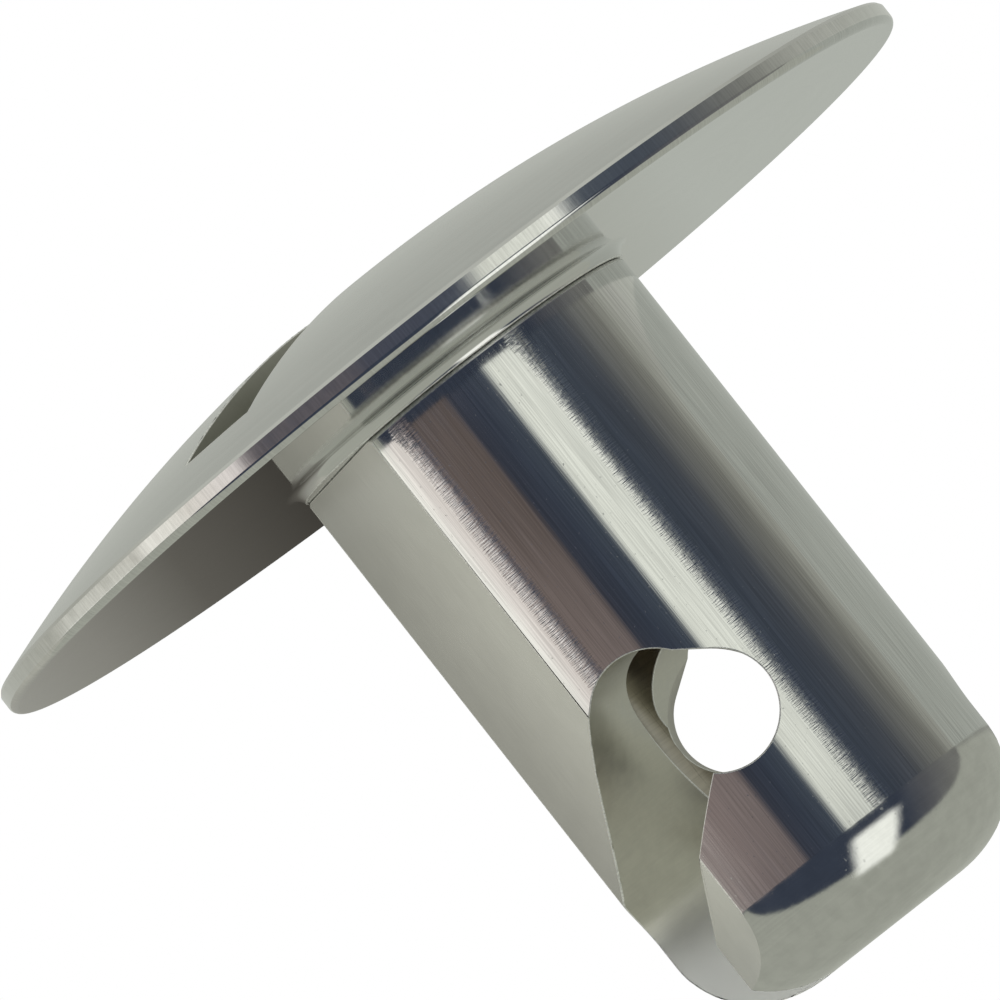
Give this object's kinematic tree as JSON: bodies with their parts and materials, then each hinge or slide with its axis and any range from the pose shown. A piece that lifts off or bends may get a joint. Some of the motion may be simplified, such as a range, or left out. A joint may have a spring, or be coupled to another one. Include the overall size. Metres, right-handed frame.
{
  "type": "quarter-turn panel fastener stud",
  "caption": "Polished metal quarter-turn stud with a shallow domed slotted head and a flatted, end-bored shank with a round cross hole and a helical cam slot that climbs onto a spring wire.",
  "frame": {"origin": "on the stud's axis, in the plane of the head's flat underside that seats on the panel", "axes": "+Z along the axis, out of the domed head; the shank points to -Z; the cross hole runs along Y and its cam slot leaves it towards -X on the -Y side"},
  "size_m": [0.0222, 0.0222, 0.0165],
  "materials": {
    "head_metal": "polished bare steel with fine turning marks",
    "shank_metal": "polished bare steel with fine lengthwise brushing"
  },
  "bodies": {
    "root": {"slotted_head": "head_metal", "cam_shank": "shank_metal"}
  },
  "joints": []
}
